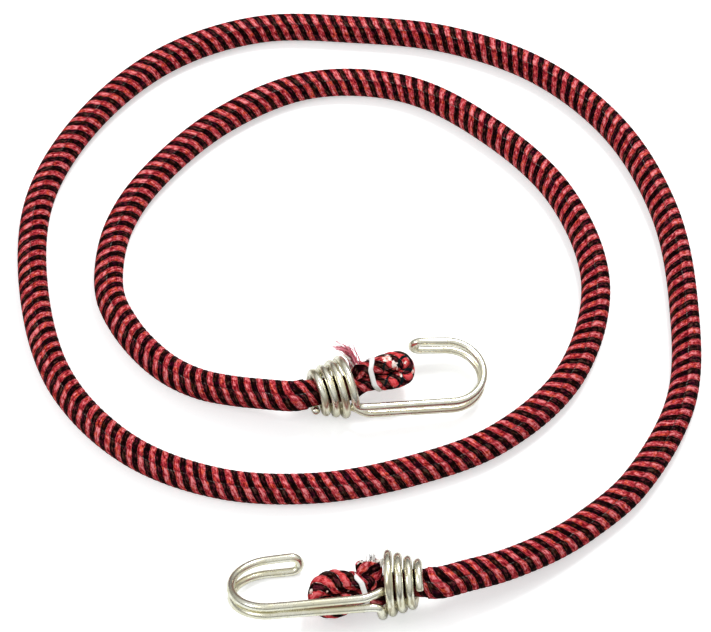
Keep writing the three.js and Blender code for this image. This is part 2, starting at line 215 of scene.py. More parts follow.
# Where the cover of a folded end has opened and its rubber shows: along the coil's axis and aside from it in
# the fold's plane, with the size of the bare patch.
BARE_PATCHES = {
    "a": [
        (20.8, 5.9, 0.7), (21.7, 6.2, 0.7), (22.6, 4.4, 1.0), (25.8, 4.5, 0.45), (27.5, 1.7, 0.5),
        (24.1, 1.4, 0.5), (23.4, 3.2, 0.4),
    ],
    "b": [(27.9, -0.9, 0.6), (24.0, -1.0, 0.3), (18.9, -1.3, 0.25)],
}

# The cord's route from hook A to hook B: across, away, and where it doesn't lie flat, its middle's height.
ROUTE_FROM_A = [
    (-25.5, 25, 8.1), (-34, 26.8, 6.9), (-42.5, 29.7, 5.5), (-50.5, 34.5, 4.4), (-57.5, 41, 3.98),
]
ROUTE_FLAT = [
    (-63.5, 49), (-68, 58.5), (-69, 69), (-67, 82.5), (-59.5, 98), (-39.5, 120), (-14.5, 133), (13, 131.5),
    (37, 116), (56, 93), (64, 63), (55.5, 33.5), (36, 14), (12.5, 4), (-12, -1), (-37, 0.5), (-60.5, 10.5),
    (-79.5, 31), (-89, 60.5), (-89.5, 92.5), (-77, 121), (-56, 143), (-30, 154), (-2, 154), (26, 150),
    (52, 138), (72.5, 116.5), (84.5, 87.5), (87.5, 56), (84.5, 25.5), (70.5, 0),
]
ROUTE_TO_B = [
    (57.5, -12, 3.95), (50, -17.5, 4.8), (42.5, -22, 6.1), (34.5, -26, 7.5), (26.5, -29, 8.8),
]
FLEX_LENGTH = {"a": 66.0, "b": 56.0}

# Places along each stretch next to a hook, measured level along its hook's way out, where its bend would
# start and end. The script works them out but uses them for nothing.
BEND_SPAN = {"a": (-47.0, -9.0), "b": (-61.5, -18.0)}

# The camera looks down at the spiral from the front.
CAMERA_AIM = (-1.5, 52.5, 4.0)
CAMERA_ELEVATION = 56.0
CAMERA_DISTANCE = 662.2
CAMERA_LENS = 124.05
CAMERA_NEAR, CAMERA_FAR = 10.0, 50000.0

# The floor and the light
FLOOR_DROP = 0.07
FLOOR_SIZE = 6000.0
FLOOR_GLOW = 0.47
SKY_LOW, SKY_HIGH = 0.15, 0.72
SKY_RISE = (0.05, 0.75)
LIGHT_AIM = (0, 55, 0)
KEY_PLACE, KEY_SIZE, KEY_POWER = (170, 330, 610), 220, 2.6
FILL_PLACE, FILL_SIZE, FILL_POWER = (-420, -120, 480), 260, 1.0

# Two points closer than this are one.
SAME_PLACE = 1e-4


def unit(v):
    return v / np.linalg.norm(v, axis=-1, keepdims=True)


def smoothstep(x, low, high):
    t = np.clip((x - low) / (high - low), 0, 1)
    return t * t * (3 - 2 * t)


def between(low, high, share):
    return low + (high - low) * share


def turn_about(axis, degrees):
    """Rotation matrix about one of the frame's own axes, 0 for X to 2 for Z."""
    c, s = cos(radians(degrees)), sin(radians(degrees))
    m = np.eye(3)
    i, j = (axis + 1) % 3, (axis + 2) % 3
    m[i, i], m[i, j], m[j, i], m[j, j] = c, -s, s, c
    return m


def smooth_line(points, per_span):
    """A smooth line through the points, which makes no loops where they lie close together."""
    p = np.asarray(points, float)
    p = np.vstack([2 * p[0] - p[1], p, 2 * p[-1] - p[-2]])
    t = np.linspace(0, 1, per_span, endpoint=False)[:, None]
    spans = []
    for a, b, c, d in zip(p, p[1:], p[2:], p[3:]):
        ab, bc, cd = (sqrt(np.linalg.norm(y - x)) for x, y in ((a, b), (b, c), (c, d)))
        bc = bc if bc > SAME_PLACE else 1.0
        ab = ab if ab > SAME_PLACE else bc
        cd = cd if cd > SAME_PLACE else bc
        m0 = ((b - a) / ab - (c - a) / (ab + bc) + (c - b) / bc) * bc
        m1 = ((c - b) / bc - (d - b) / (bc + cd) + (d - c) / cd) * bc
        spans.append(b + m0 * t + (3 * (c - b) - 2 * m0 - m1) * t**2 + (2 * (b - c) + m0 + m1) * t**3)
    return np.vstack([*spans, p[-2:-1]])


def gone_along(line):
    return np.concatenate([[0], np.cumsum(np.linalg.norm(np.diff(line, axis=0), axis=1))])


def at_places(line, gone, places):
    """The line's values at those distances along it."""
    return np.stack([np.interp(places, gone, line[:, k]) for k in range(line.shape[1])], 1)


def tangents(points):
    return unit(np.gradient(points, axis=0))


def ways_out(first, second, angles):
    """Unit vectors round each point of a line, at those angles from the first of two square ones."""
    return first[:, None] * np.cos(angles)[None, :, None] + second[:, None] * np.sin(angles)[None, :, None]


def carried_frames(points, first_normal):
    """Two unit vectors square to a line at each of its points, turned as little as possible."""
    ways = tangents(points)
    normal = np.asarray(first_normal, float)
    normals = []
    for way in ways:
        normal = unit(normal - way * (normal @ way))
        normals.append(normal)
    normals = np.array(normals)
    return normals, np.cross(ways, normals)


# Meshes
def grid_faces(rows, columns, first=0):
    """Quads between closed rings of points, and their corners with the seam kept open."""
    i, j = np.meshgrid(np.arange(rows - 1), np.arange(columns), indexing="ij")
    i, j = i.ravel(), j.ravel()
    k = (j + 1) % columns
    faces = np.stack([i * columns + j, i * columns + k, (i + 1) * columns + k, (i + 1) * columns + j], 1)
    corners = [(i, j), (i, j + 1), (i + 1, j + 1), (i + 1, j)]
    corners = np.stack([np.stack(corner) for corner in corners])
    return faces + first, corners.transpose(2, 0, 1)


def at_corners(places, corners):
    """A UV map's corners, from two grids of coordinates."""
    u, v = places
    rows, columns = corners[:, :, 0], corners[:, :, 1]
    return np.stack([u[rows, columns], v[rows, columns]], 2)


def inside_out(points, faces):
    a, b, c, d = (points[faces[:, k]] for k in range(4))
    volume = np.einsum("ij,ij->i", a, np.cross(b, c)) + np.einsum("ij,ij->i", a, np.cross(c, d))
    return volume.sum() < 0


def add_object(name, data):
    thing = bpy.data.objects.new(name, data)
    bpy.context.scene.collection.objects.link(thing)
    return thing


def make_piece(name, points, faces, maps=(), values=(), materials=(), material_of=None):
    """A smooth mesh. maps gives UV corners in the faces' order, and values a number per point."""
    mesh = bpy.data.meshes.new(name)
    mesh.from_pydata((np.asarray(points) * MM).tolist(), [], faces)
    for map_name, corners in maps:
        layer = mesh.uv_layers.new(name=map_name, do_init=False)
        layer.uv.foreach_set("vector", np.asarray(corners, np.float32).ravel())
    for value_name, numbers in values:
        attribute = mesh.attributes.new(value_name, "FLOAT", "POINT")
        attribute.data.foreach_set("value", np.asarray(numbers, np.float32).ravel())
    for material in materials:
        mesh.materials.append(material)
    if material_of is not None:
        mesh.polygons.foreach_set("material_index", material_of)
    mesh.shade_smooth()
    return add_object(name, mesh)


def end_caps(rows, columns, middles):
    """Fans that close the two ends of a grid, each from its middle point."""
    caps = []
    for row, middle in zip((0, rows - 1), middles):
        for j in range(columns):
            edge = [row * columns + (j + 1) % columns, row * columns + j]
            caps.append([*(edge if row == 0 else edge[::-1]), middle])
    return caps


def end_rims(rows, columns, first, bore_rows, bore_columns):
    """Faces that join a sleeve's outer wall to its coarser inner wall at both ends."""
    step = columns // bore_columns
    rims = []
    for row, bore_row in ((0, 0), (rows - 1, bore_rows - 1)):
        for j in range(bore_columns):
            outer = [row * columns + (j * step + k) % columns for k in range(step + 1)]
            inner = [first + bore_row * bore_columns + k for k in ((j + 1) % bore_columns, j)]
            rim = outer + inner
            rims.append(rim[::-1] if row == 0 else rim)
    return rims


def tube(name, rings, material, map_name=None, places=None, bore=None, values=(), cap_material=None):
    """A closed tube through rings of points. With a bore it is a sleeve with a coarser inner wall."""
    rows, columns = rings.shape[:2]
    points = rings.reshape(-1, 3)
    faces, corners = grid_faces(rows, columns)
    flipped = inside_out(points, faces)
    first = len(points)
    if bore is None:
        ends = end_caps(rows, columns, (first, first + 1))
        points = np.vstack([points, rings[0].mean(0), rings[-1].mean(0)])
        inner_wall = []
    else:
        ends = end_rims(rows, columns, first, *bore.shape[:2])
        inner_wall = grid_faces(*bore.shape[:2], first)[0][:, ::-1].tolist()
        points = np.vstack([points, bore.reshape(-1, 3)])
    whole = faces.tolist() + inner_wall + ends
    if flipped:
        whole = [face[::-1] for face in whole]
    maps = []
    if places is not None:
        sides = at_corners(places, corners)
        if flipped:
            sides = sides[:, ::-1]
        rest = sum(len(face) for face in whole[len(faces):])
        maps.append((map_name, np.vstack([sides.reshape(-1, 2), np.zeros((rest, 2))])))
    material_of = None
    materials = [material]
    if cap_material is not None:
        materials.append(cap_material)
        material_of = [0] * (len(faces) + len(inner_wall)) + [1] * len(ends)
    padded = [(n, np.concatenate([np.ravel(x), np.zeros(len(points) - np.size(x))])) for n, x in values]
    return make_piece(name, points, whole, maps, padded, materials, material_of)


def round_rings(points, radii, sides, first_normal=UP):
    normals, asides = carried_frames(points, first_normal)
    angles = 2 * pi * np.arange(sides) / sides
    radii = np.broadcast_to(radii, (len(points),))[:, None, None]
    return points[:, None] + ways_out(normals, asides, angles) * radii


# Materials
class Value:
    """What a node gives, with the usual signs for sums."""

    def __init__(self, shader, socket):
        self.shader, self.socket = shader, socket

    def __add__(self, other):
        return self.shader.math("ADD", self, other)

    def __sub__(self, other):
        return self.shader.math("SUBTRACT", self, other)

    def __rsub__(self, other):
        return self.shader.math("SUBTRACT", other, self)

    def __mul__(self, other):
        return self.shader.math("MULTIPLY", self, other)

    def __truediv__(self, other):
        return self.shader.math("DIVIDE", self, other)

    def __abs__(self):
        return self.shader.math("ABSOLUTE", self)


class Shader:
    """The node tree of a material or a world, with short calls for the nodes that it needs."""

    def __init__(self, owner, surface="Principled BSDF"):
        owner.use_nodes = True
        self.owner = owner
        self.nodes, self.links = owner.node_tree.nodes, owner.node_tree.links
        self.surface = self.nodes[surface]

    def put(self, value, socket):
        if isinstance(value, Value):
            self.links.new(value.socket, socket)
        else:
            socket.default_value = value

    def node(self, kind, inputs, output=0, **settings):
        """What a new node gives. Its inputs and its output are found by name or by place."""
        node = self.nodes.new("ShaderNode" + kind)
        for name, setting in settings.items():
            setattr(node, name, setting)
        for key, value in inputs.items():
            self.put(value, node.inputs[key])
        return Value(self, node.outputs[output])

    def math(self, operation, *values):
        return self.node("Math", dict(enumerate(values)), operation=operation)

    def fract(self, value):
        return self.math("FRACT", value)

    def ramp(self, *values):
        """A value's smooth rise between two limits: from 0 to 1, or between two numbers more."""
        return self.node("MapRange", dict(enumerate(values)), interpolation_type="SMOOTHSTEP")

    def mix(self, share, first, second):
        return self.node("Mix", {0: share, 6: first, 7: second}, 2, data_type="RGBA")

    def vector(self, x, y, z=0.0):
        return self.node("CombineXYZ", {"X": x, "Y": y, "Z": z})

    def noise(self, vector, scale, detail=2.0, rough=0.5):
        inputs = {"Vector": vector, "Scale": scale, "Detail": detail, "Roughness": rough}
        return self.node("TexNoise", inputs, "Fac")

    def speckle(self, vector):
        return self.node("TexWhiteNoise", {"Vector": vector}, "Value")

    def split(self, vector, axes):
        return [self.node("SeparateXYZ", {0: vector}, axis) for axis in axes]

    def map(self, name):
        return self.split(self.node("UVMap", {}, uv_map=name), "XY")

    def value(self, name):
        return self.node("Attribute", {}, "Fac", attribute_name=name)

    def place(self, kind="Object"):
        return self.node("TexCoord", {}, kind)

    def camera_ray(self):
        return self.node("LightPath", {}, "Is Camera Ray")

    def bump(self, height, strength, distance):
        inputs = {"Height": height, "Strength": strength, "Distance": distance * MM}
        self.set(Normal=self.node("Bump", inputs))

    def set(self, **values):
        for name, value in values.items():
            self.put(value, self.surface.inputs[name.replace("_", " ")])


def to_sides(share, reach):
    """A share from 0 to 1, as a step of up to half the reach to either side."""
    return (share - 0.5) * reach


# The deepest red and black are painted shade, and the pale red, pale black and olive are painted highlights.
RED_SHADE = (0.15, 0.003, 0.008, 1)
RED = (0.46, 0.039, 0.051, 1)
RED_HIGHLIGHT = (0.78, 0.24, 0.255, 1)
RED_ORANGE = (0.70, 0.085, 0.022, 1)
RED_BRIGHT = (0.74, 0.042, 0.048, 1)
BLACK_SHADE = (0.0015, 0.0002, 0.0004, 1)
BLACK = (0.007, 0.0008, 0.001, 1)
BLACK_HIGHLIGHT = (0.13, 0.020, 0.028, 1)
OLIVE_HIGHLIGHT = (0.085, 0.050, 0.036, 1)
BLACK_BROWN = (0.030, 0.006, 0.001, 1)
BLACK_PLUM = (0.024, 0.001, 0.009, 1)
BLACK_TEAL = (0.003, 0.010, 0.012, 1)
THREAD_GREY = (0.25, 0.23, 0.21, 1)
RUBBER_WHITE, RUBBER_SALMON = (0.90, 0.82, 0.76, 1), (0.83, 0.30, 0.24, 1)
RUBBER_DULL, RUBBER_CLEAN = (0.78, 0.70, 0.60, 1), (0.94, 0.91, 0.86, 1)
TIE_DULL, TIE_CLEAN = (0.80, 0.80, 0.79, 1), (0.93, 0.93, 0.92, 1)
WIRE_DULL, WIRE_BRIGHT = (0.84, 0.81, 0.61, 1), (0.99, 0.98, 0.85, 1)
WIRE_SPECK, WIRE_MARK = (0.36, 0.31, 0.20, 1), (0.34, 0.28, 0.17, 1)
FIBRE_DEEP, FIBRE_PALE = (0.58, 0.03, 0.07, 1), (0.86, 0.28, 0.36, 1)
FIBRE_BLACK, FIBRE_WHITE = (0.03, 0.02, 0.02, 1), (0.84, 0.82, 0.79, 1)
FLOOR_WHITE = (0.81, 0.832, 0.835, 1)
WHITE = (1, 1, 1, 1)

# The braid's colouring. Places along it are in pairs of yarns, and places round it in columns.
STRAY_ROUND = 0.55
STRAY_ALONG = 0.08
FRAY = 0.16
BEAD_MIDDLE = 0.45
RED_MIDDLE = 0.25
# The first limits give painted shade at a red yarn's edges; the next are where the yarn turns black.
RED_EDGE_SHADE = (0.205, 0.255)
BLACK_EDGE = (0.246, 0.288)
# A painted shade in a notch at each strong column
NOTCH_SHADE_PLACE, NOTCH_SHADE_WIDTH = -0.02, 0.05
THREAD_LINE = (0.008, 0.03)
THREAD_LINKS = 4.0
CROSS_SLANT = 0.75
CROSS_WIDTH = 0.17
TORN_EDGE = 2.6
TORN_THREADS = 1.2

# How much each thing lightens the yarn: crown, swell and bead are painted highlights, threads, picks and tone
# vary it at random, and gap pales the folded ends
CROWN_HIGHLIGHT = 0.12
SWELL_HIGHLIGHT = 0.75
BEAD_HIGHLIGHT = 0.35
THREAD_LIGHT = 4.8
PICK_LIGHT = 2.5
TONE_LIGHT = 0.25
GAP_LIGHT = 7.0
GAP_BRIGHTENS = 14.0

# Where the marks of the coiling tool fade out along the wire
COIL_MARKS = (130.0, 160.0)


def yarn_places(s):
    """Pairs and columns passed, as the yarn sways, and how far away from and past a strong column it is."""
    pair, column = s.map("Braid")
    strays = to_sides(s.noise(s.vector(pair * 0.7, 0.0, 5.0), 1.0), STRAY_ROUND)
    strong = (column + strays) * (1 / STRONG_EVERY)
    away = s.fract(strong + 0.5) - 0.5
    jump = s.math("TANH", away / JOG_WIDTH) * 0.5
    pair = pair + (jump - away) * JOG
    pair = pair + to_sides(s.noise(s.vector(pair, column), 1.3), STRAY_ALONG)
    return pair, column, away, s.fract(strong)


def yarn_tone_and_highlight(s, crown, bead, past, tone, threads, picks):
    """How light the yarn is, mostly from 0 to 1: a painted highlight on its crown, on each bead's crest and
    just past a strong column, with tone that varies at random.
    """
    # Painted highlight where the yarn comes up just past a strong column, and on each bead's crest
    rise_highlight = s.ramp(past, -0.01, 0.08) * s.ramp(past, 0.12, 0.62, 1.0, 0.35)
    rise_highlight = rise_highlight * s.ramp(past, 0.72, 0.98, 1.0, 0.0)
    crest_highlight = s.ramp(abs(bead - BEAD_MIDDLE), 0.1, 0.5, 0.5, -0.5)
    light = crown * (rise_highlight * SWELL_HIGHLIGHT + CROWN_HIGHLIGHT) + crest_highlight * crown * BEAD_HIGHLIGHT
    light = light + to_sides(threads, THREAD_LIGHT) + to_sides(picks, PICK_LIGHT)
    return light + to_sides(tone, TONE_LIGHT) + s.value("Gap") * GAP_LIGHT


def red_yarn(s, light, pair, column, away):
    """Painted shade in deep red in the grooves and in a notch at each strong column, a painted highlight in
    pale red where the light value is high, and brighter red on the folded ends.
    """
    # Painted shade where the light value is low, and a painted highlight where it is high.
    low, high = s.ramp(light, -0.4, 0.4), s.ramp(light, 0.45, 1.25)
    warmth = s.ramp(s.noise(s.vector(pair, column, 7.0), 2.3), 0.5, 0.66, 0.0, 0.7)
    red = s.mix(high, s.mix(low, RED_SHADE, s.mix(warmth, RED, RED_ORANGE)), RED_HIGHLIGHT)
    red = s.mix(s.value("Gap") * GAP_BRIGHTENS, red, s.mix(low, RED_SHADE, RED_BRIGHT))
    # Painted shade in a notch at each strong column.
    return s.mix(s.ramp(abs(away - NOTCH_SHADE_PLACE), 0.0, NOTCH_SHADE_WIDTH, 0.7, 0.0), red, RED_SHADE)


def black_yarn(s, light, pair, column):
    """Black that leans to plum or brown in patches, with painted shade in its grooves and dull painted
    highlights.
    """
    tinge = s.noise(s.vector(pair * 2.0, column, 3.0), 2.2)
    black = s.mix(s.ramp(tinge, 0.34, 0.44), BLACK_PLUM, BLACK)
    black = s.mix(s.ramp(tinge, 0.56, 0.68), black, BLACK_BROWN)
    # Painted shade where the light value is low, and dull painted highlights where it is high.
    black = s.mix(s.ramp(light, -0.4, 0.4), BLACK_SHADE, black)
    dull_highlight = s.mix(s.ramp(tinge, 0.42, 0.6), BLACK_HIGHLIGHT, OLIVE_HIGHLIGHT)
    return s.mix(s.ramp(light, 0.6, 1.5, 0.0, 0.85), black, dull_highlight)


def column_thread(s, pair, column, away):
    """The links of fine thread along a strong column, which show in places."""
    links = abs(s.fract(pair * THREAD_LINKS) - 0.5)
    line = s.ramp(abs(away), *THREAD_LINE, 1.0, 0.0)
    shown = s.ramp(s.noise(s.vector(pair * 0.9, column, 9.0), 1.0), 0.45, 0.62, 0.0, 0.55)
    return line * shown * s.ramp(links, 0.12, 0.3, 0.1, 1.0)


def crossing_yarn(s, pair, column):
    """Dark yarns that cross the others where the fold is stretched."""
    apart = abs(s.fract(pair - column * CROSS_SLANT) - 0.5)
    return s.ramp(apart - s.value("Cross") * CROSS_WIDTH, -0.02, 0.02, 1.0, 0.0)


def bare_rubber(s, from_middle, threads):
    """Where rubber shows: between yarns that gape, and in bare patches with torn edges."""
    dots = s.value("Gap") * s.ramp(s.noise(s.place(), 900.0), 0.54, 0.66)
    opened = s.ramp(from_middle - (0.5 - dots), -0.02, 0.03)
    torn = to_sides(s.noise(s.place(), 1500.0), TORN_EDGE) + to_sides(threads, TORN_THREADS)
    torn = torn * s.ramp(s.value("Bare"), 0.0, 0.3)
    return s.math("MAXIMUM", opened, s.ramp(s.value("Bare") + torn, 0.5, 0.62))


def braid_material():
    """Yarn in red and black. The map holds pairs passed along the braid, and columns passed round it."""
    s = Shader(bpy.data.materials.new("braid_yarn"))
    pair, column, away, past = yarn_places(s)
    yarn = pair * 2.0
    from_middle = abs(s.fract(yarn) - 0.5)
    crown = s.ramp(from_middle, 0.12, 0.5, 1.0, 0.0)
    tone = s.speckle(s.vector(s.math("FLOOR", yarn), s.math("FLOOR", column)))
    threads = s.noise(s.vector(yarn * 3.6, column * 1.5), 1.0, rough=0.7)
    picks = s.noise(s.vector(yarn * 2.0, column * 4.2), 1.0, rough=0.7)
    frayed = s.noise(s.vector(pair * 3.0, column * 5.0), 2.6)
    bead = s.fract(column * BEADS_PER_COLUMN + frayed * 0.5)
    from_red = abs(s.fract(pair + to_sides(frayed, FRAY) + to_sides(bead, BEAD)) - RED_MIDDLE)
    light = yarn_tone_and_highlight(s, crown, bead, past, tone, threads, picks)
    red = red_yarn(s, light, pair, column, away)
    # Painted shade: deep red at the edges of each red yarn.
    colour = s.mix(s.ramp(from_red, *RED_EDGE_SHADE, 0.0, 0.8), red, RED_SHADE)
    colour = s.mix(s.ramp(from_red, *BLACK_EDGE), colour, black_yarn(s, light, pair, column))
    colour = s.mix(column_thread(s, pair, column, away), colour, THREAD_GREY)
    colour = s.mix(crossing_yarn(s, pair, column), colour, BLACK_TEAL)
    salmon = s.ramp(s.noise(s.place(), 1250.0), 0.44, 0.62)
    colour = s.mix(bare_rubber(s, from_middle, threads), colour, s.mix(salmon, RUBBER_WHITE, RUBBER_SALMON))
    # Painted shade: the folded end darkens inside the coil.
    colour = s.mix(s.value("CoilShade"), colour, BLACK)
    s.set(Base_Color=colour, Roughness=0.6, Specular_IOR_Level=0.01)
    s.bump(threads * 0.9 + picks * 0.6, 0.6, 0.14)
    return s.owner


def rubber_material():
    """Matte rubber with dull and clean patches."""
    s = Shader(bpy.data.materials.new("rubber_thread"))
    patches = s.noise(s.place(), 900.0, 3.0)
    s.set(Base_Color=s.mix(patches, RUBBER_DULL, RUBBER_CLEAN), Roughness=0.6)
    s.set(Subsurface_Weight=0.15, Subsurface_Radius=(0.001, 0.0008, 0.0006), Subsurface_Scale=0.5)
    s.bump(patches, 0.3, 0.06)
    return s.owner


def tie_material():
    """White plastic with fine ribs along the tie."""
    s = Shader(bpy.data.materials.new("tie_white"))
    along, across = s.map("Tie")
    ribs = s.noise(s.vector(along * 3.0, across * 26.0), 1.0, 3.0)
    patches = s.noise(s.place(), 700.0)
    s.set(Base_Color=s.mix(patches, TIE_DULL, TIE_CLEAN), Roughness=0.42, Specular_IOR_Level=0.4)
    s.bump(ribs, 0.5, 0.08)
    return s.owner


def wire_material():
    """Drawn steel wire under a thin, yellowish zinc plating, with draw marks, specks and dull patches."""
    s = Shader(bpy.data.materials.new("wire_zinc"))
    along, across = s.map("Wire")
    marks = s.noise(s.vector(along * 0.35, across * 42.0), 1.0, 3.0)
    streaks = s.noise(s.vector(along * 0.3, across * 9.0), 1.0)
    patches = s.noise(s.place(), 240.0, 4.0, 0.6)
    grain = s.noise(s.place(), 2600.0)
    colour = s.mix(s.ramp(patches, 0.35, 0.68), WIRE_DULL, WIRE_BRIGHT)
    colour = s.mix(s.ramp(grain, 0.6, 0.78, 0.0, 0.45), colour, WIRE_SPECK)
    coiled = s.ramp(along, *COIL_MARKS, 1.0, 0.0)
    colour = s.mix(coiled * s.ramp(streaks, 0.5, 0.64, 0.0, 0.7), colour, WIRE_MARK)
    s.set(Base_Color=colour, Metallic=1.0, Roughness=s.ramp(patches, 0.3, 0.7, 0.34, 0.2))
    s.bump(marks * 0.7 + grain * 0.3, 0.22, 0.05)
    return s.owner


def fibre_material():
    """Loose fibres, whose tone runs from deep to pale red, then black, and past 1 white."""
    s = Shader(bpy.data.materials.new("loose_fibre"))
    tone = s.value("Tone")
    red = s.mix(s.ramp(tone, 0.05, 0.6), FIBRE_DEEP, FIBRE_PALE)
    colour = s.mix(s.ramp(tone, 0.84, 0.86), red, FIBRE_BLACK)
    colour = s.mix(s.ramp(tone, 0.999, 1.001), colour, FIBRE_WHITE)
    s.set(Base_Color=colour, Roughness=0.6, Sheen_Weight=0.2)
    return s.owner


MATERIALS = {
    "braid": braid_material(),
    "rubber": rubber_material(),
    "tie": tie_material(),
    "wire": wire_material(),
    "fibre": fibre_material(),
}


# The camera
def make_camera():
    data = bpy.data.cameras.new("camera")
    data.lens = CAMERA_LENS
    data.clip_start, data.clip_end = CAMERA_NEAR * MM, CAMERA_FAR * MM
    camera = add_object("camera", data)
    elevation = radians(CAMERA_ELEVATION)
    back = Vector((0, -cos(elevation), sin(elevation)))
    camera.location = (Vector(CAMERA_AIM) + back * CAMERA_DISTANCE) * MM
    camera.rotation_euler = (-back).to_track_quat("-Z", "Y").to_euler()
    bpy.context.scene.camera = camera


# Hooks and their frames
def hook_turn(hook):
    turned = turn_about(1, 180 if hook.turned else 0)
    return turn_about(2, hook.yaw) @ turn_about(1, hook.pitch) @ turned @ turn_about(0, hook.roll)


def way_out(hook):
    return hook_turn(hook)[:, 0]


def in_frame(hook, local):
    return np.asarray(local) @ hook_turn(hook).T + np.array(hook.mouth)


# The free cord
def cord_route():
    first, last = (
        [np.array(HOOKS[k].mouth) - way_out(HOOKS[k]) * back for back in (MOUTH_LEAD, ENTRY_LEAD)]
        for k in ("a", "b")
    )
    flat = [(*place, CORD_HEIGHT) for place in ROUTE_FLAT]
    return smooth_line([*first, *ROUTE_FROM_A, *flat, *ROUTE_TO_B, *last[::-1]], ROUTE_STEPS)


def up_and_left(ways):
    lefts = unit(np.cross(UP, ways))
    return np.cross(ways, lefts), lefts


def jogged(pairs, columns):
    """Pairs passed along, with the step that the yarn makes at each strong column."""
    strong = columns / STRONG_EVERY
    away = strong - np.round(strong)
    return pairs + JOG * (np.tanh(away / JOG_WIDTH) / 2 - away)


def yarn_relief(pairs, columns):
    """How far the yarn stands out of its grooves: it comes up at a strong column and sinks again."""
    across = np.abs(np.sin(2 * pi * jogged(pairs, columns))) ** YARN_FLATNESS
    past = np.mod(columns / STRONG_EVERY, 1)
    along = smoothstep(past, 0, YARN_RISE) * (1 - smoothstep(past, YARN_SINK, 1))
    return across * (0.5 + 0.5 * along)


def braid_places(distances, shares, leans=0.0):
    """Pairs passed along, and columns passed round, at each ring and share of the way round."""
    columns = COLUMNS * (shares[None, :] - np.broadcast_to(leans, distances.shape)[:, None])
    sway = PITCH_SWAY * np.sin(2 * pi * distances / PITCH_SWAY_LENGTH)
    slant = PAIR_STARTS * shares[None, :] + SLANT_SWAY * np.sin(pi / 2 * columns)
    return (distances / PAIR_PITCH + sway)[:, None] + slant, columns


def round_shares(sides):
    """Shares of the way round, with the seam below. The last one closes it."""
    return np.linspace(-0.5, 0.5, sides + 1)


def cover_rings(points, distances):
    shares = round_shares(CORD_SIDES)
    ups, lefts = up_and_left(tangents(points))
    pairs, columns = braid_places(distances, shares, -COLUMN_LEAN * lefts[:, 1])
    relief = yarn_relief(pairs, columns)
    radii = CREST_RADIUS - GROOVE_DEPTH * (1 - relief)
    out = ways_out(ups, lefts, 2 * pi * shares)
    rings = points[:, None] + out * radii[:, :, None]
    rings[:, :, 2] = np.maximum(rings[:, :, 2], REST_HEIGHT)
    bore_rows = sorted({*range(0, len(points), BORE_STEP), len(points) - 1})
    every = CORD_SIDES // BORE_SIDES
    bore = (points[:, None] + out * BORE_RADIUS)[bore_rows, :-1:every]
    return rings[:, :-1], bore, (pairs, columns)


def stretch(line, gone, start, end):
    """Even points of the route between two distances along it, and their distances."""
    count = int(round((end - start) / RING_STEP)) + 1
    distances = np.linspace(start, end, count)
    return at_places(line, gone, distances), distances


def braided(name, rings, places, **more):
    piece = tube(name, rings, MATERIALS["braid"], "Braid", places, **more)
    return piece


def cord_stretch(name, points, distances):
    rings, bore, places = cover_rings(points, distances)
    return braided(name, rings, places, bore=bore)


def enter_cord(points, length):
    """Works out points along a stretch, from its exit on, and keeps none of them."""
    path = [tuple(p) for p in (points * MM)[:: len(points) // PATH_POINTS]] + [tuple(points[-1] * MM)]


def rubber_bundle(name, points):
    """The bundle of rubber threads, with its ridges."""
    middles = points[::BUNDLE_STEP]
    rings = round_rings(middles, BUNDLE_RADIUS, BUNDLE_SIDES)
    angles = np.arange(BUNDLE_SIDES) * pi * BUNDLE_RIDGES / BUNDLE_SIDES
    ridges = 1 - RIDGE_SHARE * np.abs(np.cos(angles))
    centres = middles[:, None]
    piece = tube(name, centres + (rings - centres) * ridges[None, :, None], MATERIALS["rubber"])
    return piece


def make_cord():
    line = cord_route()
    gone = gone_along(line)
    whole = gone[-1]
    parts = {
        "flex_a": stretch(line, gone, 0, FLEX_LENGTH["a"]),
        "main": stretch(line, gone, FLEX_LENGTH["a"], whole - FLEX_LENGTH["b"]),
        "flex_b": stretch(line, gone, whole - FLEX_LENGTH["b"], whole),
    }
    main = cord_stretch("cord_main", *parts["main"])
    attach(main, "cord")
    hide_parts("cover_main")
    bundle = rubber_bundle("rubber_main", parts["main"][0])
    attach(bundle, "cord")
    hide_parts(*(f"core_strand_{i}" for i in range(STRANDS)))
    for k in ("a", "b"):
        points, distances = parts[f"flex_{k}"]
        out = way_out(HOOKS[k])
        level = unit(np.array([out[0], out[1], 0.0]))
        start, end = (tuple(level * place * MM) for place in BEND_SPAN[k])
        cover = cord_stretch(f"cord_flex_{k}", points, distances)
        bundle = rubber_bundle(f"rubber_flex_{k}", points)
        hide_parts(f"cover_flex_{k}")
        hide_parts(f"core_flex_{k}")
        for piece in (cover, bundle):
            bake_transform(piece)
        from_mouth = points if k == "a" else points[::-1]
        enter_cord(from_mouth, FLEX_LENGTH[k])
    points, distances = parts["main"]
    enter_cord(points, distances[-1] - distances[0])


# The wire hooks
def coil_line(hook, steps_per_turn=96):
    rise = hook.pair_at_coil / 2 + CORNER_RADIUS
    end = pi - asin(rise / hook.large_radius)
    start = pi - 2 * pi * hook.turns
    share = np.linspace(-hook.wire_end / hook.turns, 1, int(steps_per_turn * hook.turns) + 1)
    angle = between(start, end, share)
    radius = between(hook.mouth_radius, hook.large_radius, share)
    across, up = radius * np.cos(angle), radius * np.sin(angle)
    lean_turn = radians(hook.lean_turn)
    lean = hook.lean_share * (across * cos(lean_turn) + up * sin(lean_turn))
    along = WIRE_DIAMETER / 2 + hook.coil_pitch * hook.turns * share
    return np.stack([along - lean, across, up], 1)


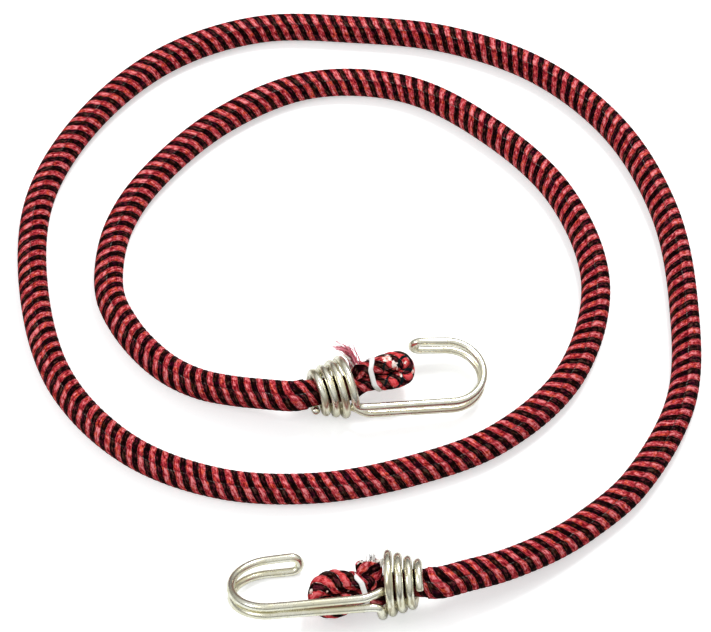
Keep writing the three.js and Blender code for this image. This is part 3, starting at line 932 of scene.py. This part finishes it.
def plan_line(hook, bend_steps=64, straight_steps=12):
    """Shank, bend and leg in the plan of the hook, the share of the way gone, and the way at the tip."""
    splay, sweep = radians(hook.splay), radians(hook.bend_sweep)
    start = np.array([
        WIRE_DIAMETER / 2 + hook.coil_pitch * hook.turns + CORNER_RADIUS, -hook.large_radius])
    away = np.array([cos(splay), -sin(splay)])
    inward = np.array([sin(splay), cos(splay)])
    centre = start + away * hook.shank + inward * hook.bend_radius
    first = -pi / 2 - splay
    angles = first + sweep * np.linspace(0, 1, bend_steps + 1)
    bend = centre + hook.bend_radius * np.stack([np.cos(angles), np.sin(angles)], 1)
    back = np.array([-sin(angles[-1]), cos(angles[-1])])
    shank = start + away * (hook.shank * np.linspace(0, 1, straight_steps + 1))[:-1, None]
    leg = bend[-1] + back * (hook.leg * np.linspace(0, 1, straight_steps + 1))[1:, None]
    line = np.vstack([shank, bend, leg])
    return line, gone_along(line) / gone_along(line)[-1], back


def pulled_curve(a, b, c, d):
    t = np.linspace(0, 1, CURVE_STEPS + 1)[:, None]
    return a * (1 - t) ** 3 + 3 * b * t * (1 - t) ** 2 + 3 * c * t * t * (1 - t) + d * t**3


def beyond(line, start, way):
    """The points of a line that lie past a place near its start."""
    past = (line - start) @ way > JOIN_CLEAR
    past[len(line) // 2:] = True
    return line[past]


def wire_line(hook):
    """One wire: coil, corner, shank, bend, a hairpin at the tip, and back beside itself to a tucked end."""
    coil = coil_line(hook)
    plan, share, back = plan_line(hook)
    spacing = between(hook.pair_at_coil, hook.pair_at_bend, smoothstep(share, *SHANK_SHARES))
    half = (spacing + (hook.pair_at_tip - hook.pair_at_bend) * smoothstep(share, *BEND_SHARES)) / 2
    out = np.column_stack([plan, half])
    home = np.column_stack([plan, -half])
    shank_way = unit(out[1] - out[0])
    end, end_way = coil[-1], unit(coil[-1] - coil[-2])
    pull = CORNER_RADIUS * CORNER_PULL_SHARE
    joined = out[0] + shank_way * CORNER_RADIUS
    corner = pulled_curve(end, end + end_way * pull, out[0] - shank_way * pull, joined)
    angles = np.linspace(0, pi, CURVE_STEPS + 1)[1:-1]
    tip = plan[-1] + np.outer(half[-1] * np.sin(angles), back)
    hairpin = np.column_stack([tip, half[-1] * np.cos(angles)])
    home_start = home[0] + shank_way * (TUCK_LENGTH - CORNER_RADIUS)
    tucked = home[0] + np.array([-hook.tuck_reach, hook.tuck_depth, 0])
    tuck = pulled_curve(
        home_start, home_start - shank_way * TUCK_LENGTH / 2,
        tucked + np.array([1, -1 / 2, 0]) * TUCK_LENGTH / 4, tucked)
    out, home = beyond(out, joined, shank_way), beyond(home, home_start, shank_way)
    return np.vstack([coil, corner[1:], out, hairpin, home[::-1], tuck])


def make_hook(k):
    hook = HOOKS[k]
    line = wire_line(hook)
    gone = gone_along(line)
    lead = np.linspace(0, gone[-1], int(gone[-1] / WIRE_STEP))
    near_end = np.minimum(lead, gone[-1] - lead)
    radii = WIRE_DRAWN / 2 * (1 - END_ROUND_SHARE * (1 - smoothstep(near_end, 0, END_ROUND_RUN)))
    rings = round_rings(at_places(line, gone, lead), radii, WIRE_SIDES)
    places = np.meshgrid(lead, np.linspace(0, 1, WIRE_SIDES + 1), indexing="ij")
    piece = tube(f"wire_hook_{k}", in_frame(hook, rings), MATERIALS["wire"], "Wire", places)
    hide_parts(f"hook_{k}")
    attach(piece, f"hook_{k}")


# The folded ends
def fold_axes(k):
    """The fold's plane: along the coil's axis, aside in the plane, and square to it."""
    axis = way_out(HOOKS[k])
    level = unit(np.array([0.0, 1.0, 0.0]) - axis * axis[1])
    up = np.cross(axis, level)
    up = up if up[2] > 0 else -up
    turn = radians(FOLDS[k].turn)
    aside = level * cos(turn) + up * sin(turn)
    return np.stack([axis, aside, np.cross(axis, aside)])


def in_fold(k, places):
    """Places in the fold's plane, or off it where they have a third number, in the shared frame."""
    return places @ fold_axes(k)[:places.shape[-1]] + np.array(HOOKS[k].mouth)


def turn_place(fold):
    """Where along the coil's axis the fold starts to turn back."""
    return fold.knob_end - fold.knob_half - fold.knob_spacing / 2


def fold_stations(fold):
    """Along, aside, half size in the fold's plane and half size square to it, at each station."""
    gripped = GRIPPED_DIAMETER / 2
    mouth = (gripped + CORD_DIAMETER / 2) / 2
    turn_at, rise, knob, apart = turn_place(fold), fold.rise, fold.knob_spacing / 2, fold.neck_spacing / 2
    lean = apart * tan(radians(fold.tie_tilt))
    slant = knob * fold.corner
    neck = (fold.neck_half, fold.neck_depth)
    full = (fold.knob_half, fold.knob_depth)
    out, home = (
        [
            (fold.neck_at - side * lean - NECK_RUN, rise + side * apart, *neck),
            (fold.neck_at - side * lean + NECK_RUN, rise + side * apart, *neck),
            (knob_at, rise + side * knob, *full),
            (turn_at, rise + side * knob, *full),
            (turn_at + slant, rise + side * slant, *full),
        ]
        for side, knob_at in zip((-1, 1), fold.knob_at)
    )
    return np.array([
        (-MOUTH_LEAD, 0, mouth, mouth),
        (MOUTH_LEAD, 0, gripped, gripped),
        (fold.neck_at * GRIP_SHARE, 0, gripped, gripped),
        fold.entry,
        *out,
        (turn_at + knob, rise, *full),
        *home[::-1],
        (*fold.tail_root, fold.tail_half[0] - TAIL_TUCK, fold.tail_depth[0] - TAIL_TUCK),
    ])


def past_neck(fold, middle, run):
    """How far each point of the cord's middle has passed a stretch that is measured from the neck."""
    low, high = (fold.neck_at + place for place in run)
    return smoothstep(middle[:, 0], low, high)[:, None]


def sagged(along, aside, fold):
    """The fold sags towards its outer end."""
    share = smoothstep(along, fold.neck_at + NECK_RUN, fold.knob_end - fold.knob_half)
    return aside + fold.drop * share


def inner_reach(middle, fold):
    """How far the legs' inner sides reach: from the neck on they press against each other."""
    return np.hypot(np.maximum(middle[:, 0] - turn_place(fold), 0), middle[:, 1] - fold.rise)


def braid_angles(k, shares):
    """Where the braid's sides lie round a folded end, as on the free cord, and its left side's lean."""
    axes = fold_axes(k)
    up, left = up_and_left(way_out(HOOKS[k]) * (-1 if k == "a" else 1))
    start = atan2(up @ axes[2], up @ axes[1])
    sense = 1 if np.cross(axes[1], axes[2]) @ np.cross(up, left) > 0 else -1
    return start + sense * 2 * pi * shares, left[1]


def fold_braid(k, distances, shares, lean):
    """The braid carries on from the free cord, and its pitch widens beyond the coil."""
    sign, origin = (-1, 0.0) if k == "a" else (1, LENGTH_OF_CORD)
    pitches = between(PAIR_PITCH, FOLD_PITCH, smoothstep(distances, *FOLD_PITCH_RUN))
    passed = np.concatenate([[0], np.cumsum(np.diff(distances) / pitches[1:])]) * PAIR_PITCH
    return braid_places(origin + sign * passed, shares, lean)


def fold_section(fold, middle, half, angles, knobness):
    """How far each side lies from the cord's middle, in the fold's plane and square to it."""
    cosines, sines = np.cos(angles)[None, :], np.sin(angles)[None, :]
    pressed = past_neck(fold, middle, PRESS_RUN)
    outer = half[:, :1] - KNOB_TRIM * knobness
    inner = between(outer, inner_reach(middle, fold)[:, None] + LEG_OVERLAP, pressed)
    squared = 1 - PRESSED_SQUARE * pressed * (cosines > 0)
    reach = np.where(cosines > 0, inner, outer) * np.sign(cosines) * np.abs(cosines) ** squared
    deep = half[:, 1:] * np.sign(sines) * np.abs(sines) ** (1 - PRESSED_FLAT * pressed)
    return reach, deep


def lumps_over(k, distances, angles):
    """Smooth random lumps, from -1 to 1."""
    rng = np.random.default_rng(FOLDS[k].lump_seed)
    lumps = np.zeros((len(distances), len(angles)))
    for _ in range(LUMPS):
        waves, turns, phase = rng.integers(1, 7), rng.integers(1, 4), rng.random() * 2 * pi
        lumps += np.cos(waves * distances[:, None] / LUMP_LENGTH + turns * angles[None, :] + phase) / LUMPS
    return lumps


def bare_patches(k, along, aside, seen):
    bare = np.zeros_like(along)
    for at, off, size in BARE_PATCHES[k]:
        apart = np.hypot(along - at, aside - off)
        edge, full = (-size * share for share in PATCH_EDGE_SHARES)
        bare = np.maximum(bare, np.where(seen, smoothstep(-apart, edge, full), 0))
    return bare


def make_fold(k):
    """The cord beyond the mouth: gripped, folded back on itself, cinched, and cut off beside the coil."""
    fold = FOLDS[k]
    stations = fold_stations(fold)
    line = smooth_line(stations[:, :2], FOLD_LINE_STEPS)
    halves = smooth_line(stations[:, 2:], FOLD_LINE_STEPS)
    gone = gone_along(line)
    distances = np.linspace(0, gone[-1], int(gone[-1] / FOLD_STEP))
    middle, half = at_places(line, gone, distances), at_places(halves, gone, distances)
    shares = round_shares(FOLD_SIDES)
    angles, lean = braid_angles(k, shares)
    places = fold_braid(k, distances, shares, -COLUMN_LEAN * lean)
    knobness = past_neck(fold, middle, KNOB_RUN)
    reach, deep = fold_section(fold, middle, half, angles, knobness)
    drawn = (GROOVE_DEPTH + KNOB_GROOVE * knobness) * (1 - yarn_relief(*places))
    raised = LUMP_HEIGHT * lumps_over(k, distances, angles) * knobness
    scale = 1 + (raised - drawn) / np.maximum(np.hypot(reach, deep), 1)
    reach, deep = reach * scale, deep * scale
    flat_ways = tangents(middle)
    along = middle[:, :1] - flat_ways[:, 1:] * reach
    aside = sagged(along, middle[:, 1:] + flat_ways[:, :1] * reach, fold)
    facing = deep * fold.facing
    bare = bare_patches(k, along, aside, facing > 0)
    rings = in_fold(k, np.stack([along, aside, deep + BARE_SWELL * bare * np.sign(deep)], 2))
    # The last amount is painted shade, which darkens the cord inside the coil.
    amounts = {
        "Gap": fold.gap * knobness * np.ones_like(along),
        "Bare": bare,
        "Cross": knobness * smoothstep(facing, *CROSS_RUN) * fold.cross,
        "CoilShade": COIL_SHADE_SHARE * smoothstep(along, *COIL_SHADE_START) * (1 - smoothstep(along, *COIL_SHADE_END)),
    }
    values = [(name, amount[:, :-1]) for name, amount in amounts.items()]
    piece = braided(f"folded_end_{k}", rings[:, :-1], places, values=values)
    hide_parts(f"end_cover_{k}")
    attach(piece, f"end_{k}")


def joined_tubes(name, lines, radius, sides, material, tones=None):
    """Many thin closed tubes as one piece, each a little thinner at its tip."""
    points, faces, tone = [], [], []
    for i, line in enumerate(lines):
        taper = radius * (1 - TIP_THIN_SHARE * np.linspace(0, 1, len(line)) ** 3)
        block = round_rings(line, taper, sides, LOOSE_NORMAL).reshape(-1, 3)
        quads, _ = grid_faces(len(line), sides)
        ends = [list(range(sides))[::-1], list(range(len(block) - sides, len(block)))]
        whole = quads.tolist() + ends
        if inside_out(block, quads):
            whole = [face[::-1] for face in whole]
        first = len(points)
        faces.extend([first + corner for corner in face] for face in whole)
        points.extend(block.tolist())
        tone.extend([tones[i] if tones is not None else 0.0] * len(block))
    return make_piece(name, points, faces, values=[("Tone", tone)], materials=[material])


# The frayed yarn's way out of each tail, along the coil's axis and aside from it in the fold's plane.
FRAY_ROUTES = {
    "a": [(13.4, 5.0), (12.5, 8.0), (10.9, 9.7), (8.4, 10.8)],
    "b": [(12.9, 5.0), (12.8, 6.0), (12.7, 7.0), (12.3, 8.1)],
}

# Rubber threads drawn out beside the tail, in the fold's plane.
DRAWN_THREADS = {
    "a": [[(12.8, 5.4), (12.0, 6.4), (11.4, 7.4)], [(12.0, 7.0), (11.2, 8.0), (10.4, 8.8)]],
    "b": [[(11.9, 3.6), (10.9, 5.0), (10.1, 6.5)], [(11.6, 3.4), (10.6, 4.7), (9.9, 5.8)],
          [(12.2, 4.0), (11.4, 5.4), (10.5, 6.3)]],
}


def tail_line(fold):
    """Where the cut tail starts and ends in the fold's plane, and the way between."""
    root, end = np.array(fold.tail_root), np.array(fold.tail_end)
    return root, end, unit(end - root)


def make_tail_cover(k):
    """The cut end of the cover: a short flared sleeve with a ragged lip."""
    fold = FOLDS[k]
    rng = np.random.default_rng(fold.lip_seed)
    root, end, way = tail_line(fold)
    length = np.linalg.norm(end - root)
    side = np.array([way[1], -way[0]])
    shares = round_shares(TAIL_SIDES)
    angles = 2 * pi * shares
    ragged = np.interp(
        shares, round_shares(TAIL_RAGS), np.append(rng.normal(size=TAIL_RAGS) * TAIL_RAGGED, 0))
    rows = [(share, 1.0) for share in np.linspace(0, 1, TAIL_ROWS)] + TAIL_LIP_SHARES
    share, scale = (column[:, None] for column in np.array(rows).T)
    half = between(*fold.tail_half, smoothstep(share, 0, 1))
    depth = between(*fold.tail_depth, share)
    places = braid_places(TAIL_PLACE + length * share[:, 0] * TAIL_PITCH_SHARE, shares)
    size = scale * (1 - TAIL_RELIEF * (1 - yarn_relief(*places)) + TAIL_WAVE * np.cos(3 * angles + 1))
    flat = (root + (end - root) * share)[:, None] + way * ragged[None, :, None] * share[:, :, None] ** 3
    flat = flat + side * (half * size * np.cos(angles))[:, :, None]
    rings = in_fold(k, np.dstack([flat, depth * size * np.sin(angles)]))
    piece = braided(f"tail_cover_{k}", rings[:, :-1], places, cap_material=MATERIALS["rubber"])
    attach(piece, f"end_{k}")


def make_rubber_ends(k, rng):
    """Rubber ends that stick out of the cut cover, and threads drawn out beside it."""
    fold, axes = FOLDS[k], fold_axes(k)
    _, end, way = tail_line(fold)
    tail_at, tail_way, deep = in_fold(k, end), way @ axes[:2], axes[2]
    across = unit(np.cross(tail_way, deep))
    t = np.linspace(0, 1, STUB_STEPS + 1)[:, None]
    stubs = []
    for i in range(STUBS):
        turn, far = STUB_TURN * i, sqrt((i + 0.5) / STUBS) * STUB_SPREAD_SHARE
        base = tail_at + across * fold.tail_half[1] * far * cos(turn)
        base = base + deep * fold.tail_depth[1] * far * sin(turn) - tail_way * STUB_ROOT
        length = STUB_LENGTH + STUB_LENGTH_SPREAD * rng.random()
        bow = across * rng.normal() * STUB_BOW[0] + deep * rng.normal() * STUB_BOW[1]
        stubs.append(base + tail_way * length * t + bow * t**2)
    for thread in DRAWN_THREADS[k]:
        drawn = in_fold(k, smooth_line(thread, DRAWN_STEPS))
        stubs.append(drawn + deep * fold.facing * rng.uniform(*DRAWN_OUT))
    rubber = joined_tubes(f"rubber_ends_{k}", stubs, STUB_RADIUS, STUB_SIDES, MATERIALS["rubber"])
    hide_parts(f"end_core_{k}")
    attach(rubber, f"end_{k}")


def make_fray(k, rng):
    """The tail's frayed yarn: loose fibres that open out and curl."""
    fray, depth = FRAYS[k], FOLDS[k].tail_depth[1]
    axis, aside, deep = fold_axes(k)
    route = in_fold(k, smooth_line(FRAY_ROUTES[k], FRAY_STEPS))
    fibres, tones = [], []
    for i in range(fray.count):
        far = FIBRE_SHORTEST + (1 - FIBRE_SHORTEST) * rng.random() ** fray.length_power
        last = max(FIBRE_STEPS_LEAST, int(far * (len(route) - 1)))
        t = np.linspace(0, 1, last + 1)[:, None]
        root = axis * rng.normal() * ROOT_WIDE + deep * rng.uniform(-ROOT_DEEP, ROOT_DEEP) * depth
        opened = aside * abs(rng.normal()) * OPEN_ASIDE + axis * rng.normal() * OPEN_ALONG
        opened = opened + deep * rng.normal()
        curl = np.sin(t * rng.uniform(*CURL_TURN)) * rng.normal(size=3) * CURL_REACH
        spread = opened * fray.spread * t**1.5 * far
        fibres.append(route[: last + 1] + root * (1 - ROOT_CLOSES * t) + spread + curl)
        pale_or_black = BLACK_TONE if i % BLACK_EVERY == 0 else WHITE_TONE
        tones.append(rng.random() * RED_TONES if k == "a" else pale_or_black)
    piece = joined_tubes(f"frayed_yarn_{k}", fibres, FIBRE_RADIUS, FIBRE_SIDES, MATERIALS["fibre"], tones)
    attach(piece, f"end_{k}")


def make_tail(k):
    """The cut tail of a folded end. Its cover, rubber ends and frayed yarn are a piece each."""
    make_tail_cover(k)
    rng = np.random.default_rng(FOLDS[k].tail_seed)
    make_rubber_ends(k, rng)
    make_fray(k, rng)


def tie_outline(fold):
    """The tie's middle line round both legs of the fold, across the coil's axis."""
    angles = np.linspace(-pi / 2, pi / 2, TIE_ROUND_STEPS + 1)
    clear = TIE_CLEAR + TIE_WALL / 2
    half, depth = fold.neck_half + clear, fold.neck_depth + clear
    sides = [
        np.column_stack([side * (fold.neck_spacing / 2 + half * np.cos(angles)),
                         side * depth * np.sin(angles)])
        for side in (1, -1)]
    return np.vstack(sides)


def tie_section():
    """The tie's flat, rounded section: along the coil's axis, and out from the tie's middle."""
    turns = 2 * pi * np.arange(TIE_SECTION_POINTS) / TIE_SECTION_POINTS
    c, s = np.cos(turns), np.sin(turns)
    scale = (np.abs(c) ** TIE_SQUARENESS + np.abs(s) ** TIE_SQUARENESS) ** (-1 / TIE_SQUARENESS)
    return TIE_WIDTH / 2 * c * scale, TIE_WALL / 2 * s * scale


def make_tie(k):
    """The white tie round both legs of the fold: a flat band that leans and bows a little."""
    fold = FOLDS[k]
    outline = tie_outline(fold)
    ways = unit(np.roll(outline, -1, 0) - np.roll(outline, 1, 0))
    width, out = tie_section()
    aside = outline[:, :1] + ways[:, 1:] * out
    deep = outline[:, 1:] - ways[:, :1] * out
    along = width + fold.tie_bow * aside**2
    tilt = radians(fold.tie_tilt)
    leaned = np.stack([along * cos(tilt) - aside * sin(tilt),
                       along * sin(tilt) + aside * cos(tilt), deep], 2)
    leaned += (fold.neck_at, fold.rise, 0)
    rings = in_fold(k, leaned)
    rows, columns = len(rings) + 1, rings.shape[1]
    faces, corners = grid_faces(rows, columns)
    faces %= (rows - 1) * columns
    points = rings.reshape(-1, 3)
    around, across = np.linspace(0, TIE_RIBS, rows), np.linspace(0, 1, columns + 1)
    places = at_corners(np.meshgrid(around, across, indexing="ij"), corners)
    if inside_out(points, faces):
        faces, places = faces[:, ::-1], places[:, ::-1]
    piece = make_piece(
        f"white_tie_{k}", points, faces.tolist(), [("Tie", places.reshape(-1, 2))],
        materials=[MATERIALS["tie"]])
    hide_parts(f"band_{k}")
    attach(piece, f"end_{k}")


# Floor and light
def make_floor():
    half, low = FLOOR_SIZE / 2, -FLOOR_DROP
    corners = [(-half, -half, low), (half, -half, low), (half, half, low), (-half, half, low)]
    s = Shader(bpy.data.materials.new("floor_white"))
    s.set(Base_Color=FLOOR_WHITE, Roughness=0.9, Specular_IOR_Level=0.1)
    s.set(Emission_Color=WHITE, Emission_Strength=s.camera_ray() * FLOOR_GLOW)
    make_piece("floor", corners, [(0, 1, 2, 3)], materials=[s.owner])


def area_light(name, place, size, power):
    data = bpy.data.lights.new(name, "AREA")
    data.shape = "DISK"
    data.size = size * MM
    data.energy = power
    light = add_object(name, data)
    light.location = Vector(place) * MM
    light.rotation_euler = (Vector(LIGHT_AIM) - Vector(place)).to_track_quat("-Z", "Y").to_euler()


def make_light():
    """A studio: bright overhead, dim towards the horizon. The camera sees plain white."""
    world = bpy.data.worlds.new("studio")
    bpy.context.scene.world = world
    s = Shader(world, "Background")
    rise, = s.split(s.place("Generated"), "Z")
    sky = s.ramp(rise, *SKY_RISE, SKY_LOW, SKY_HIGH)
    s.set(Color=WHITE, Strength=s.node("Mix", {0: s.camera_ray(), 2: sky, 3: 1.0}))
    area_light("key", KEY_PLACE, KEY_SIZE, KEY_POWER)
    area_light("fill", FILL_PLACE, FILL_SIZE, FILL_POWER)


make_camera()
LENGTH_OF_CORD = gone_along(cord_route())[-1]
make_cord()
for end in ("a", "b"):
    make_hook(end)
    make_fold(end)
    make_tail(end)
    make_tie(end)
make_floor()
make_light()
bpy.context.scene.view_settings.view_transform = "Standard"
